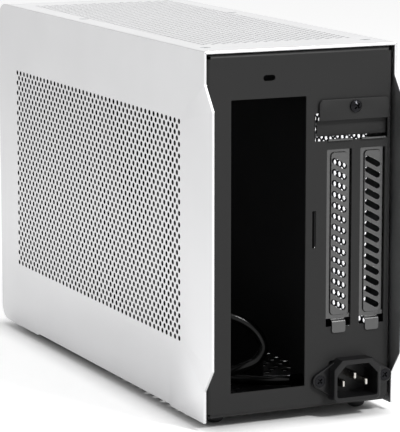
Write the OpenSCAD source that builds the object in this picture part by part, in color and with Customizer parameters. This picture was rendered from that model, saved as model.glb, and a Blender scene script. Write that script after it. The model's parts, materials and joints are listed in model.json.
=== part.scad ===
// Small form factor computer case with a sandwich layout: the board bay lies on the +X side
// of a centre tray and the card bay on the -X side. The front faces -Y, the rear +Y, +Z is up,
// and the origin is the middle of the footprint on the surface that the feet stand on.

/* [Shell] */
// Width over both side panels
case_w = 115; // [112:0.5:140]
// Height of the shell, feet left out
case_h = 200; // [198:1:240]
// Depth from the front face to the plain part of the rear edge
case_d = 307; // [300:1:360]
// Thickness of the aluminium shell sheets
sheet = 1.5; // [1.2:0.1:2]
// Outside radius of the front bends and of the side panels' front corners
corner_r = 10; // [6:0.5:14]
// Gap left at the mitre between shell sheets
seam = 0.3; // [0.2:0.05:0.5]
// Length of the cover's lip under the front edge
lip_len = 16; // [12:1:24]

/* [Side panel edges] */
// How far the side panels' grips stand out at the rear
grip_out = 10; // [6:0.5:14]
// Plain height above and below a grip
grip_low = 17.5; // [12:0.5:30]
// Height over which a grip slants out
grip_run = 13; // [8:0.5:20]
// Depth of the long relief in the side panels' bottom edge
relief_h = 1; // [0.5:0.1:1.2]
// Distance of the relief from the rear edge
relief_rear = 42; // [30:1:60]
// Length of the relief
relief_len = 203; // [150:1:215]

/* [Perforation] */
// Diameter of a hole in the shell
hole_d = 5.2; // [3.5:0.1:6]
// Pitch of the hole rows along the depth
hole_py = 11.3; // [10:0.1:16]
// Pitch of the hole rows across the depth
hole_pz = 12.5; // [11:0.1:16]
// Plain margin at the front and rear of a side field, to the first hole's centre
field_y = 34; // [30:1:50]
// Plain margin above and below a side field, to the first hole's centre
field_z = 43; // [40:1:60]
// Plain margin beside the top field, to the first hole's centre
field_x = 15; // [14:1:24]
// Diameter of a hole in the floor
floor_hole_d = 5; // [4:0.5:6]
// Pitch of the floor's holes
floor_pitch = 11; // [9:0.5:16]

/* [Chassis] */
// Thickness of the steel chassis sheets
steel = 1; // [0.8:0.1:1.2]
// Outside bend radius of the chassis sheets
bend_r = 2.5; // [2:0.1:3]
// Depth of the rear panel and front frame flanges
flange = 10; // [8.5:0.5:10.5]
// Gap between the chassis and the side panels
side_gap = 0.5; // [0.4:0.1:0.7]
// Gap between the chassis and the cover above it
top_gap = 0.5; // [0.4:0.1:0.7]
// How far the rear panel's face lies inside the shell's rear edge
rear_inset = 1.2; // [0.8:0.1:2]
// Distance from the shell's bottom edge to the chassis
floor_up = 1.8; // [1.6:0.1:2.2]
// Space between the front face and the front frame
front_space = 10.5; // [10:0.5:14]
// Height of the floor's side flanges
floor_flange = 12; // [12:0.5:14]
// Width of a top rail
rail_w = 16.5; // [14:0.5:20]
// Height of a top rail's side
rail_h = 16; // [15:0.5:20]

/* [Board bay] */
// Height of a board standoff
standoff_h = 6.5; // [6:0.1:8]
// Width across flats of a board standoff
standoff_af = 5.5; // [5:0.1:6]
// Width of the input and output opening
io_w = 44.45; // [44.45:0.01:44.6]
// Height of the input and output opening
io_h = 158.75; // [158.75:0.01:159]
// Distance from the card side panel's face to the opening's edge beside the tray
io_in = 54.2; // [54:0.1:54.7]
// Height of the opening's bottom edge above the shell's bottom edge
io_z = 14.6; // [14:0.1:18]
// Distance from the card side panel's face to the tray's board side face
tray_in = 49.2; // [48.9:0.1:49.5]
// Height of the tray's upper edge below the shell's top edge
tray_top = 8; // [7:0.5:14]

/* [Expansion slots] */
// Distance from the card side panel's face to the first slot's middle
slot_in = 34; // [33.5:0.1:34.5]
// Distance between slot middles
slot_pitch = 20.32; // [20.32:0.01:20.4]
// Width of a slot opening
slot_w = 15.2; // [14.6:0.1:15.6]
// Height of a slot opening's bottom edge above the shell's bottom edge
slot_z = 46; // [44:0.5:50]
// Height of a slot opening
slot_h = 97.5; // [96:0.5:98]
// Height of the bar over the slot openings
bar_h = 4.8; // [4:0.1:6]
// Width of a slot cover
cover_w = 18.2; // [18:0.1:18.3]
// Thickness of a slot cover
cover_t = 0.9; // [0.8:0.1:1]
// Pitch of a slot cover's slanted vents
vent_pitch = 5.98; // [5.8:0.02:6.1]
// Number of slanted vents in a slot cover
vent_n = 14; // [8:1:14]
// Width of the retaining plate
retainer_w = 42; // [41:0.5:42.5]
// Height of the retaining plate
retainer_h = 20.2; // [20:0.1:21]
// Thickness of the retaining plate
retainer_t = 1.2; // [1:0.1:1.3]

/* [Mains inlet] */
// Distance from the card side panel's face to the inlet's middle
inlet_in = 26; // [26:0.1:27.5]
// Height of the inlet's middle above the shell's bottom edge
inlet_z = 16.8; // [16.5:0.1:18]
// Distance between the inlet's screws
inlet_span = 40; // [40:0.1:40.4]
// Width of the inlet's housing
inlet_w = 28.4; // [28:0.1:29]
// Height of the inlet's housing
inlet_h = 23.4; // [23:0.1:24]
// How far the housing stands out from its flange
inlet_out = 6; // [4:0.5:6.5]
// Diameter of the mains lead
lead_d = 5.6; // [5:0.2:6]

/* [Front controls] */
// Diameter of the power button
button_d = 12; // [10:0.5:12]
// Travel of the power button
button_travel = 1.2; // [0.8:0.1:1.5]
// Distance from the board side panel's face to the middle of the button and the socket
controls_in = 21.5; // [19.5:0.5:23.5]
// Height of the button above the shell's bottom edge
button_z = 30; // [26:1:40]
// Distance from the button up to the front socket
socket_up = 24; // [22:1:28]

/* [Feet] */
// Height of the feet below the shell's bottom edge
foot_h = 4.5; // [3.5:0.5:8]
// Diameter of a foot
foot_d = 10; // [9:0.5:11]
// Distance between the feet across the case
foot_x = 86.8; // [80:0.2:88]
// Distance of a foot from the front or rear edge
foot_y = 17.5; // [17.5:0.5:30]

/* [Hidden] */
$fn = 48;
e = 0.01;
silver = [0.86, 0.86, 0.86];
black = [0.13, 0.13, 0.13];
dark = [0.2, 0.2, 0.2];
grey = [0.5, 0.5, 0.5];
steel_c = [0.7, 0.7, 0.72];

x_o = case_w / 2;
x_i = x_o - sheet;
io_x = io_in - x_o;
tray_x = tray_in - x_o;
slot_x = slot_in - x_o;
inlet_x = inlet_in - x_o;
controls_x = x_o - controls_in;
y_f = -(case_d + grip_out) / 2;
y_r = y_f + case_d;
z_b = foot_h;
z_t = z_b + case_h;
zc = (z_b + z_t) / 2;
x_ch = x_i - side_gap;
x_rail = x_ch - steel;
y_face = y_r - rear_inset;
y_in = y_face - steel;
y_ff = y_f + front_space;
y_fi = y_ff + steel;
z_lo = z_b + floor_up;
z_fl = z_lo + steel;
z_deck = z_fl + steel;
z_hi = z_t - sheet - top_gap;
z_rail = z_hi - 2 * steel;
// Ends of what lies between the front frame's and the rear panel's bends
y_c0 = y_fi + bend_r - steel;
y_c1 = y_in - bend_r + steel;
// Rows of panel studs and clips
stud_y = [y_f + 30.5, y_r - 30.5];
stud_z = [z_fl + 7.4, z_rail - 6.5];
stud_r = 2.6;
clip_len = 5;
// Rows of cover screws
screw_x = x_i - 8;
screw_y = [y_r - 189, y_r - 19];
lip_y = y_f + corner_r + lip_len / 2;
lip_x = 28;
rivet_x = x_rail - 9;
rivet_low_x = 16;
rivet_y = [y_ff + steel + flange / 2, y_in - flange / 2];
// Middle height and rear edge of the board, with its four mounting holes
board_z = z_b + io_z + io_h / 2;
board_y = y_in - 2;
hole_y = [board_y - 10.16, board_y - 165.1, board_y - 165.1, board_y - 33.02];
hole_z = [board_z - 78.74, board_z - 78.74, board_z + 78.74, board_z + 78.74];
tray_foot = 11;
// Slots
sz0 = z_b + slot_z;
sz1 = sz0 + slot_h;
bar_top = sz1 + bar_h;
slot_x0 = slot_x + 15.3;
upper_h = 15.2;
ret_x1 = slot_x0 - 2.4;
ret_x0 = ret_x1 - retainer_w;
upper_x0 = ret_x0 - 0.2;
ret_z1 = bar_top + 22.5;
ret_z0 = ret_z1 - retainer_h;
ret_fold = ret_z0 + 9;
ret_sx = slot_x - slot_pitch / 2 + 1.5;
ret_sz = ret_z1 - 4;
// Inlet
iz = z_b + inlet_z;
flange_t = 2.5;
inlet_face = y_face + flange_t + inlet_out;
inlet_back = y_in - 16;
recess_d = 15.5;
// Power supply frame
psu_y = y_fi + 20;
psu_l = 125;
psu_z0 = z_rail - 15 - psu_l - 2;
psu_x1 = x_rail - 1.2;
psu_x = (tray_x + psu_x1) / 2;
psu_zc = psu_z0 + psu_l / 2 + 1;
// Loose plug of the mains lead
plug_x = tray_x + 32.3;
plug_y = inlet_back - 192.3;
plug_w = 27;
plug_t = 19;
plug_len = 32;
plug_z = z_deck + plug_t / 2;
// Front controls
bz = z_b + button_z;
uz = bz + socket_up;
pcb = 1.6;
pcb_y = y_ff - pcb;
switch_t = 3.4;

function arc(cx, cy, r, a0, a1, n = 6) =
  [for (i = [0:n]) [cx + r * cos(a0 + (a1 - a0) * i / n), cy + r * sin(a0 + (a1 - a0) * i / n)]];
// Rectangle with round corners
function rr(x0, y0, x1, y1, r, n = 5) = concat(
  arc(x1 - r, y0 + r, r, -90, 0, n), arc(x1 - r, y1 - r, r, 0, 90, n),
  arc(x0 + r, y1 - r, r, 90, 180, n), arc(x0 + r, y0 + r, r, 180, 270, n));
// Channel section of half width w and depth d, with both bends
function channel(w, d, r, t) = concat(
  [[-w, d]], arc(-w + r, r, r, 180, 270), arc(w - r, r, r, 270, 360), [[w, d], [w - t, d]],
  arc(w - r, r, r - t, 360, 270), arc(-w + r, r, r - t, 270, 180), [[-w + t, d]]);
function rows(span, pitch) = floor((span + e) / pitch);

// A flat shape in the YZ, XZ or XY plane, given its thickness
module yz(x, t) { translate([x, 0, 0]) rotate([90, 0, 90]) linear_extrude(t) children(); }
module xz(y, t) { translate([0, y + t, 0]) rotate([90, 0, 0]) linear_extrude(t) children(); }
module xy(z, t) { translate([0, 0, z]) linear_extrude(t) children(); }
module rod_x(x, y, z, r, l) { translate([x, y, z]) rotate([0, 90, 0]) cylinder(r = r, h = l); }
module rod_y(x, y, z, r, l) { translate([x, y, z]) rotate([-90, 0, 0]) cylinder(r = r, h = l); }
module rod_z(x, y, z, r, l) { translate([x, y, z]) cylinder(r = r, h = l); }
// Staggered field of round holes that fills a span, centred on the origin
module field(w, h, pw, ph, d) {
  nw = rows(w, pw);
  nh = rows(h, ph);
  for (i = [0:nw]) for (j = [0:nh])
    translate([(i - nw / 2) * pw, (j - nh / 2) * ph]) circle(d = d);
  for (i = [0:nw - 1]) for (j = [0:nh - 1])
    translate([(i + 0.5 - nw / 2) * pw, (j + 0.5 - nh / 2) * ph]) circle(d = d);
}
// Cross recess of a screw head that faces +Z
module cross(r, depth) {
  for (a = [45, 135]) rotate([0, 0, a])
    translate([-r, -r * 0.22, -depth]) cube([2 * r, r * 0.44, depth + e]);
}

// Side panel on the +X side: a flat sheet with a mitred edge, round front corners and a grip
module side_panel() {
  difference() {
    yz(x_i, sheet) difference() {
      polygon([[y_f, z_b], [y_r - relief_rear - relief_len, z_b],
        [y_r - relief_rear - relief_len + 3, z_b + relief_h],
        [y_r - relief_rear - 3, z_b + relief_h], [y_r - relief_rear, z_b],
        [y_r, z_b], [y_r, z_b + grip_low], [y_r + grip_out, z_b + grip_low + grip_run],
        [y_r + grip_out, z_t - grip_low - grip_run], [y_r, z_t - grip_low], [y_r, z_t], [y_f, z_t]]);
      translate([(y_f + y_r) / 2, zc])
        field(case_d - 2 * field_y, case_h - 2 * field_z, hole_py, hole_pz, hole_d);
    }
    translate([0, y_f + corner_r, 0]) xz(0, case_d)
      polygon([[x_i - 1, z_t - sheet - 1], [x_o + 1, z_t + 1], [x_i - 1, z_t + 1]]);
    xz(y_f + corner_r, lip_len)
      polygon([[x_i - 1, z_b + sheet + 1], [x_o + 1, z_b - 1], [x_i - 1, z_b - 1]]);
    xy(z_b + corner_r, case_h - 2 * corner_r)
      polygon([[x_i - 1, y_f + sheet + 1], [x_o + 1, y_f - 1], [x_i - 1, y_f - 1]]);
    for (z = [z_b + corner_r, z_t - corner_r]) difference() {
      translate([x_i - 1, y_f - 1, z < zc ? z_b - 1 : z]) cube([sheet + 2, corner_r + 1, corner_r + 1]);
      translate([x_i - 1, y_f + corner_r, z]) rotate([0, 90, 0])
        cylinder(r1 = corner_r - sheet - 1, r2 = corner_r + 1, h = sheet + 2);
    }
  }
}
module board_side_panel() { color(silver) side_panel(); }
module card_side_panel() { color(silver) mirror([1, 0, 0]) side_panel(); }

// Ball studs riveted to the inside of a side panel
module studs() {
  reach = x_i - x_rail + 4;
  neck = asin(1.5 / stud_r);
  for (y = stud_y) for (z = stud_z) translate([x_i, y, z]) rotate([0, -90, 0]) rotate_extrude()
    polygon(concat([[0, 0], [3, 0], [3, 0.4], [1.5, 0.4]], arc(0, reach, stud_r, neck - 90, 90, 12)));
}
module board_panel_studs() { color(steel_c) studs(); }
module card_panel_studs() { color(steel_c) mirror([1, 0, 0]) studs(); }

// Mitred strip of the cover: its section in width and thickness
module strip(dir) {
  polygon([[-(x_o - seam), 0], [x_o - seam, 0], [x_i - seam, dir * sheet], [-(x_i - seam), dir * sheet]]);
}
module cover_bend(a, z) {
  translate([0, y_f + corner_r, z]) rotate([a, 0, 0]) rotate([0, 90, 0]) rotate_extrude(angle = 90)
    polygon([[corner_r - sheet, -(x_i - seam)], [corner_r, -(x_o - seam)],
      [corner_r, x_o - seam], [corner_r - sheet, x_i - seam]]);
}
// Top, front and lower lip bent from one sheet
module front_top_cover() {
  color(silver) union() {
    difference() {
      translate([0, 0, z_t]) xz(y_f + corner_r, case_d - corner_r) strip(-1);
      translate([0, (y_f + y_r) / 2, z_t - sheet - 1]) linear_extrude(sheet + 2)
        field(case_w - 2 * field_x, case_d - 2 * field_y, hole_pz, hole_py, hole_d);
      for (x = [-screw_x, screw_x]) for (y = screw_y) translate([x, y, z_t - sheet]) {
        translate([0, 0, -1]) cylinder(r = 1.7, h = sheet + 2);
        translate([0, 0, sheet - 1.35]) cylinder(r1 = 1.7, r2 = 3.1, h = 1.36);
      }
    }
    difference() {
      translate([0, y_f, 0]) xy(z_b + corner_r, case_h - 2 * corner_r) strip(1);
      rod_y(controls_x, y_f - 1, bz, button_d / 2 + 0.3, sheet + 2);
      xz(y_f - 1, sheet + 2) polygon(rr(controls_x - 3.2, uz - 6.9, controls_x + 3.2, uz + 6.9, 0.6));
    }
    cover_bend(180, z_t - corner_r);
    cover_bend(-90, z_b + corner_r);
    difference() {
      translate([0, 0, z_b]) xz(y_f + corner_r, lip_len) strip(1);
      for (x = [-lip_x, lip_x]) translate([x, lip_y, z_b]) {
        translate([0, 0, -1]) cylinder(r = 1.7, h = sheet + 2);
        translate([0, 0, -e]) cylinder(r1 = 3.1, r2 = 1.7, h = 1.36);
      }
      for (x = [-foot_x / 2, foot_x / 2]) rod_z(x, y_f + foot_y, z_b - 1, foot_d / 2 + 0.4, sheet + 2);
    }
  }
}
// Countersunk screw, head up, top face at z = 0
module flat_screw(l) {
  difference() {
    union() {
      translate([0, 0, -1.3]) cylinder(r1 = 1.5, r2 = 2.95, h = 1.3);
      translate([0, 0, -l]) cylinder(r = 1.5, h = l - 1.3);
    }
    cross(1.5, 0.9);
  }
}
module cover_screws() {
  color(steel_c) {
    for (x = [-screw_x, screw_x]) for (y = screw_y) translate([x, y, z_t - 0.08]) flat_screw(7.5);
    for (x = [-lip_x, lip_x]) translate([x, lip_y, z_b + 0.08]) rotate([180, 0, 0]) flat_screw(7);
  }
}
// Clinch nuts under the rails and on the floor for the cover's screws
module clinch_nuts() {
  color(steel_c) {
    for (x = [-screw_x, screw_x]) for (y = screw_y) difference() {
      rod_z(x, y, z_rail - 3, 3.2, 3);
      rod_z(x, y, z_rail - 4, 1.6, 5);
    }
    for (x = [-lip_x, lip_x]) difference() {
      rod_z(x, lip_y, z_deck, 3.2, 3);
      rod_z(x, lip_y, z_deck - 1, 1.6, 5);
    }
  }
}

// Folded tray with four flanges: dir is +1 when the flanges run to -Y
module folded(y, dir) {
  h = z_hi - z_lo;
  union() {
    xy(z_lo + bend_r, h - 2 * bend_r)
      polygon([for (p = channel(x_ch, flange, bend_r, steel)) [p[0], y - dir * p[1]]]);
    yz(-(x_ch - bend_r), 2 * (x_ch - bend_r))
      polygon([for (p = channel(h / 2, flange, bend_r, steel)) [y - dir * p[1], (z_lo + z_hi) / 2 + p[0]]]);
  }
}
module rivet_holes(y) {
  for (s = [-1, 1]) {
    rod_z(s * rivet_low_x, y, z_lo - 1, 1.6, steel + 2);
    rod_z(s * rivet_x, y, z_hi - steel - 1, 1.6, steel + 2);
  }
}
module rear_panel() {
  color(dark) difference() {
    folded(y_face, 1);
    xz(y_in - 1, steel + 2) {
      polygon(rr(io_x, z_b + io_z, io_x + io_w, z_b + io_z + io_h, 0.4, 2));
      for (i = [0, 1]) translate([slot_x - i * slot_pitch, 0])
        polygon(rr(-slot_w / 2, sz0, slot_w / 2, sz1, 0.5, 2));
      polygon(rr(upper_x0, bar_top, slot_x0, bar_top + upper_h, 0.8, 2));
      polygon(rr(io_x + 18.5, z_t - 17.4, io_x + 25.6, z_t - 14.2, 1.5));
      polygon(rr(tray_x - steel - 0.2, board_z - 3.6, tray_x + 1, board_z + 16.6, 0.3, 2));
      polygon(rr(inlet_x - 13.8, iz - 10.4, inlet_x + 13.8, iz + 10.4, 2));
      translate([ret_sx, ret_sz]) circle(r = 1.7);
      for (s = [-1, 1]) translate([inlet_x + s * inlet_span / 2, iz]) circle(r = 1.7);
    }
    rivet_holes(rivet_y[1]);
  }
}
module front_frame() {
  color(dark) difference() {
    folded(y_ff, -1);
    xz(y_ff - 1, steel + 2) {
      polygon(rr(-x_ch + 14, z_b + 20, tray_x - 8, z_t - 30, 4));
      polygon(rr(tray_x + 14, psu_z0 + 16, x_ch - 14, z_t - 30, 4));
      polygon(rr(tray_x + 10, z_b + 14, controls_x - 18, psu_z0 - 4, 4));
      translate([controls_x, bz - 11]) circle(r = 2.5);
    }
    rivet_holes(rivet_y[0]);
    for (s = [-1, 1]) {
      rod_z(s * lip_x, lip_y, z_lo - 1, 1.7, steel + 2);
      rod_z(s * foot_x / 2, y_f + foot_y, z_lo - 1, 2.2, steel + 2);
    }
  }
}
module floor_pan() {
  color(dark) difference() {
    xz(y_c0, y_c1 - y_c0)
      polygon([for (p = channel(x_rail, floor_flange, bend_r, steel)) [p[0], z_fl + p[1]]]);
    xy(z_fl - 1, steel + 2) {
      translate([(tray_x + tray_foot + x_rail) / 2, y_r - 86])
        field(x_rail - tray_x - tray_foot - 14, 116, floor_pitch, floor_pitch, floor_hole_d);
      translate([(tray_x - x_rail) / 2, y_r - 170])
        field(x_rail + tray_x - 16, 180, floor_pitch, floor_pitch, floor_hole_d);
    }
    for (x = [-foot_x / 2, foot_x / 2]) for (y = [y_f + foot_y, y_r - foot_y])
      rod_z(x, y, z_fl - 1, 2.2, steel + 2);
    for (x = [-rivet_low_x, rivet_low_x]) for (y = rivet_y) rod_z(x, y, z_fl - 1, 1.6, steel + 2);
    for (x = [-lip_x, lip_x]) rod_z(x, lip_y, z_fl - 1, 1.7, steel + 2);
    for (x = [-x_ch - 1, x_rail - steel - 1]) for (y = stud_y) rod_x(x, y, stud_z[0], 3.2, steel + 3);
  }
}
// Corner rail under the cover, between the front frame and the rear panel
module rail() {
  difference() {
    xz(y_c0, y_c1 - y_c0) polygon(concat(
      [[x_rail - rail_w, z_rail + steel], [x_rail - rail_w, z_rail]],
      arc(x_rail - bend_r, z_rail + steel - bend_r, bend_r - steel, 90, 0),
      [[x_rail - steel, z_rail + steel - rail_h], [x_rail, z_rail + steel - rail_h]],
      arc(x_rail - bend_r, z_rail + steel - bend_r, bend_r, 0, 90)));
    for (y = screw_y) rod_z(screw_x, y, z_rail - 1, 1.7, steel + 2);
    for (y = rivet_y) rod_z(rivet_x, y, z_rail - 1, 1.6, steel + 2);
    for (y = stud_y) rod_x(x_rail - steel - 1, y, stud_z[1], 3.2, steel + 2);
  }
}
module board_side_rail() { color(dark) rail(); }
module card_side_rail() { color(dark) mirror([1, 0, 0]) rail(); }
// Split rings that the panel studs snap into
module panel_clips() {
  color(grey) for (s = [0, 1]) mirror([s, 0, 0]) for (y = stud_y) for (z = stud_z) difference() {
    rod_x(x_rail - steel - clip_len, y, z, 4.6, clip_len);
    rod_x(x_rail - steel - clip_len - 1, y, z, stud_r + 0.3, clip_len + 2);
    translate([x_rail - steel - clip_len - 1, y - 6, z - 0.5]) cube([clip_len - 0.5, 12, 1]);
  }
}
// Rivets that join the flanges to the rails and to the floor
module chassis_rivets() {
  color(grey) for (s = [-1, 1]) for (y = rivet_y) {
    rod_z(s * rivet_x, y, z_rail - 0.8, 2.6, 0.8);
    rod_z(s * rivet_x, y, z_rail, 1.5, 2 * steel);
    rod_z(s * rivet_low_x, y, z_deck, 2.6, 0.8);
    rod_z(s * rivet_low_x, y, z_lo, 1.5, 2 * steel);
  }
}

// Centre sheet that carries the board
module motherboard_tray() {
  top = z_t - tray_top - sheet;
  color(dark) difference() {
    union() {
      yz(tray_x - steel, steel) polygon([[y_fi, z_deck + 1], [y_c0, z_deck], [y_c1, z_deck],
        [y_in, z_deck + 1], [y_in, board_z - 3],
        [y_face, board_z - 3], [y_face, board_z + 16], [y_in, board_z + 16], [y_in, top - 12],
        [y_in - 12, top], [y_fi + 12, top], [y_fi, top - 12]]);
      translate([tray_x - 10, y_fi + 30, top - steel]) cube([10 - steel, y_in - y_fi - 60, steel]);
      translate([tray_x, board_y - 150, z_deck]) cube([tray_foot, 70, steel]);
    }
    yz(tray_x - steel - 1, steel + 2) {
      polygon(rr(board_y - 60, z_deck - 3, board_y - 24, z_deck + 18, 3));
      polygon(rr(y_fi + 26, z_b + 20, y_fi + 92, z_b + 52, 5));
      for (i = [0:3]) translate([hole_y[i], hole_z[i]]) circle(r = 1.3);
    }
  }
}
module board_standoffs() {
  color(black) for (i = [0:3]) difference() {
    translate([tray_x, hole_y[i], hole_z[i]]) rotate([0, 90, 0])
      cylinder(r = standoff_af / 2 / cos(30), h = standoff_h, $fn = 6);
    rod_x(tray_x + 0.8, hole_y[i], hole_z[i], 1.25, standoff_h);
  }
}
// Frame for a small power supply unit, with its four screw holes
module psu_bracket() {
  zt = psu_z0 + psu_l + 2;
  relief = steel + 1;
  color(dark) difference() {
    union() {
      xz(psu_y - steel, steel) polygon(rr(tray_x, psu_z0, psu_x1, zt, 1, 2));
      for (z = [psu_z0, zt - steel])
        translate([tray_x + relief, y_fi, z]) cube([psu_x1 - tray_x - 2 * relief, psu_y - y_fi, steel]);
      translate([tray_x, y_fi, psu_z0 + relief]) cube([steel, psu_y - y_fi, zt - psu_z0 - 2 * relief]);
    }
    xz(psu_y - steel - 1, steel + 2) {
      polygon(rr(tray_x + 9.75, psu_zc - 50, psu_x1 - 9.85, psu_zc + 50, 5));
      for (sx = [-1, 1]) for (sz = [-1, 1])
        translate([psu_x + sx * 25.75, psu_zc + sz * 56.5]) circle(r = 1.8);
    }
    xy(psu_z0 - 1, steel + 2) polygon(rr(tray_x + 8, y_fi + 4, psu_x1 - 8, psu_y - 5, 3));
  }
}

// Slot cover: hooked over the opening's bottom edge, tabbed over the bar above it
module slot_cover(x) {
  zl = sz0 + 2.8;
  y0 = y_in - cover_t;
  out = y_face + cover_t;
  vents = vent_n * vent_pitch;
  vz = sz1 - 3.4;
  translate([x, 0, 0]) difference() {
    union() {
      translate([-cover_w / 2, y0, zl]) cube([cover_w, cover_t, bar_top + cover_t - zl]);
      translate([-slot_w / 2 + 0.4, y_in, bar_top]) cube([slot_w - 0.8, out - y_in + 0.4, cover_t]);
      translate([-4.15, y_in, zl]) cube([8.3, out - y_in, cover_t]);
      xz(y_face, cover_t) polygon(concat(arc(-2.65, zl - 4.7, 1.5, 180, 270, 4),
        arc(2.65, zl - 4.7, 1.5, 270, 360, 4), [[4.15, zl + cover_t], [-4.15, zl + cover_t]]));
      xz(y_in, 0.8) polygon(rr(-5.4, vz - vents - 4.2, 5.4, vz + 2, 2.4, 4));
    }
    xz(y0 - e, 0.8) polygon(rr(-4.75, vz - vents - 3.5, 4.75, vz + 1.3, 1.7, 3));
    for (i = [0:vent_n - 1]) xz(y0 - 1, 4) translate([0, vz - (i + 0.75) * vent_pitch]) rotate(29)
      polygon(rr(-5.1, -1.55, 5.1, 1.55, 1.54, 4));
  }
}
module slot_cover_inner() { color(grey) slot_cover(slot_x); }
module slot_cover_outer() { color(grey) slot_cover(slot_x - slot_pitch); }
// Plate that holds the slot covers' tabs down, stepped into the opening behind it
module slot_retainer() {
  t = retainer_t;
  step = 1.1;
  color(dark) difference() {
    yz(ret_x0, retainer_w) polygon([[y_face, ret_z1], [y_face, ret_fold + 0.6],
      [y_face - step, ret_fold - 0.8], [y_face - step, ret_z0], [y_face - step + t, ret_z0],
      [y_face - step + t, ret_fold - 0.8], [y_face + t, ret_fold + 0.6], [y_face + t, ret_z1]]);
    xz(y_face - 3, 8) difference() {
      translate([ret_x0 - 1, ret_z1 - 3]) square([retainer_w + 2, 4]);
      polygon(rr(ret_x0, ret_z1 - 10, ret_x1, ret_z1, 2.6));
    }
    rod_y(ret_sx, y_face - 3, ret_sz, 1.7, 8);
  }
}
module retainer_screw() {
  color(black) translate([ret_sx, y_face + retainer_t, ret_sz]) rotate([-90, 0, 0]) difference() {
    union() {
      rotate_extrude() polygon(concat([[0, 0], [3.4, 0], [3.4, 1]], arc(0, 1 - 3.6, 4.95, 46.6, 90, 6)));
      translate([0, 0, -4]) cylinder(r = 1.5, h = 4);
    }
    translate([0, 0, 2.4]) cross(1.9, 1.4);
  }
}

// Outline of the mains inlet's recess, chamfered at its upper corners
function inlet_poly(w, h, c, r) = concat(arc(w / 2 - r, -h / 2 + r, r, -90, 0, 4),
  arc(w / 2 - r, h / 2 - c, r, 0, 45, 3), arc(w / 2 - c, h / 2 - r, r, 45, 90, 3),
  arc(-w / 2 + c, h / 2 - r, r, 90, 135, 3), arc(-w / 2 + r, h / 2 - c, r, 135, 180, 3),
  arc(-w / 2 + r, -h / 2 + r, r, 180, 270, 4));
module mains_inlet() {
  fr = 4.2;
  fh = inlet_h / 2 - 0.7;
  fw = 9;
  fx = inlet_span / 2;
  a = atan2(fh, fw - fx) - acos(fr / norm([fx - fw, fh]));
  color(black) translate([inlet_x, 0, iz]) difference() {
    union() {
      xz(y_face, flange_t) polygon(concat(arc(fx, 0, fr, -a, a, 8), [[fw, fh], [-fw, fh]],
        arc(-fx, 0, fr, 180 - a, 180 + a, 8), [[-fw, -fh], [fw, -fh]]));
      xz(y_face + flange_t, inlet_out) polygon(inlet_poly(inlet_w, inlet_h, 5, 3.2));
      xz(inlet_back, y_face - inlet_back) polygon(rr(-13.4, -10, 13.4, 10, 2));
    }
    xz(inlet_face - recess_d, recess_d + 1) polygon(inlet_poly(24.6, 18, 5.6, 1.2));
    for (s = [-1, 1]) {
      rod_y(s * fx, y_face - 1, 0, 1.75, flange_t + 2);
      translate([s * fx, y_face + flange_t - 1.5, 0]) rotate([-90, 0, 0])
        cylinder(r1 = 1.75, r2 = 3.3, h = 1.51);
    }
  }
}
// Three flat contact pins that stand on the recess floor
module inlet_pins() {
  color(steel_c) translate([inlet_x, inlet_face - recess_d, iz])
    for (p = [[-7, -2], [0, 2], [7, -2]]) translate([p[0] - 1, 0, p[1] - 2])
      cube([2, recess_d - 3, 4]);
}
module inlet_screws() {
  color(black) for (s = [-1, 1])
    translate([inlet_x + s * inlet_span / 2, y_face + flange_t - 0.08, iz]) rotate([-90, 0, 0])
    difference() {
      union() {
        translate([0, 0, -1.42]) cylinder(r1 = 1.55, r2 = 3.12, h = 1.42);
        translate([0, 0, -8]) cylinder(r = 1.55, h = 6.58);
      }
      cross(1.6, 0.9);
    }
}
// Route of the mains lead from the inlet, under the tray, round a loop and to its plug. The
// points of the loop are distances from the tray, forward of the inlet's back and above the floor.
lead_loop = [[-20.7, 18.3, 7.7], [-11.7, 24.3, 4.2], [-0.5, 30.3, 3.2], [11.3, 38.3, 3.2],
  [22.3, 46.3, 3.2], [32.3, 48.3, 3.7], [38.3, 40.3, 5.7], [35.3, 29.3, 9.7], [25.3, 22.3, 14.2],
  [16.3, 20.3, 18.2], [11.3, 21.3, 24.7], [14.3, 23.3, 33.2], [22.3, 26.3, 40.2], [32.3, 31.3, 43.7],
  [42.3, 44.3, 43.7], [48.3, 68.3, 37.7], [48.3, 105.3, 23.7], [42.3, 140.3, 12.7], [34.3, 170.3, 9.3]];
lead_route = concat([[inlet_x, inlet_back, iz], [inlet_x, inlet_back - 9.3, iz - 0.8]],
  [for (p = lead_loop) [tray_x + p[0], inlet_back - p[1], z_deck + p[2]]], [[plug_x, plug_y, plug_z]]);
function spline(p, i, t) =
  let (n = len(p), a = p[max(i - 1, 0)], b = p[i], c = p[i + 1], d = p[min(i + 2, n - 1)])
  0.5 * (2 * b + (c - a) * t + (2 * a - 5 * b + 4 * c - d) * t * t + (3 * b - a - 3 * c + d) * t * t * t);
function path(p, m) =
  concat([for (i = [0:len(p) - 2]) for (j = [0:m - 1]) spline(p, i, j / m)], [p[len(p) - 1]]);
function unit(v) = v / norm(v);
function heading(c, i) = i == 0 ? [0, -1, 0] : i == len(c) - 1 ? [0, -1, 0] : unit(c[i + 1] - c[i - 1]);
function side(v) = unit(cross(v, abs(v[2]) > 0.9 ? [1, 0, 0] : [0, 0, 1]));
module tube(c, r, sides) {
  n = len(c);
  pts = [for (i = [0:n - 1]) let (h = heading(c, i), s = side(h), u = cross(s, h))
    for (k = [0:sides - 1]) c[i] + r * (s * cos(360 * k / sides) + u * sin(360 * k / sides))];
  walls = [for (i = [0:n - 2]) for (k = [0:sides - 1]) let (k2 = (k + 1) % sides)
    [i * sides + k, i * sides + k2, (i + 1) * sides + k2, (i + 1) * sides + k]];
  polyhedron(pts, concat(walls, [[for (k = [sides - 1:-1:0]) k]],
    [[for (k = [0:sides - 1]) (n - 1) * sides + k]]));
}
module mains_lead() { color(black) tube(path(lead_route, 3), lead_d / 2, 10); }
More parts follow.
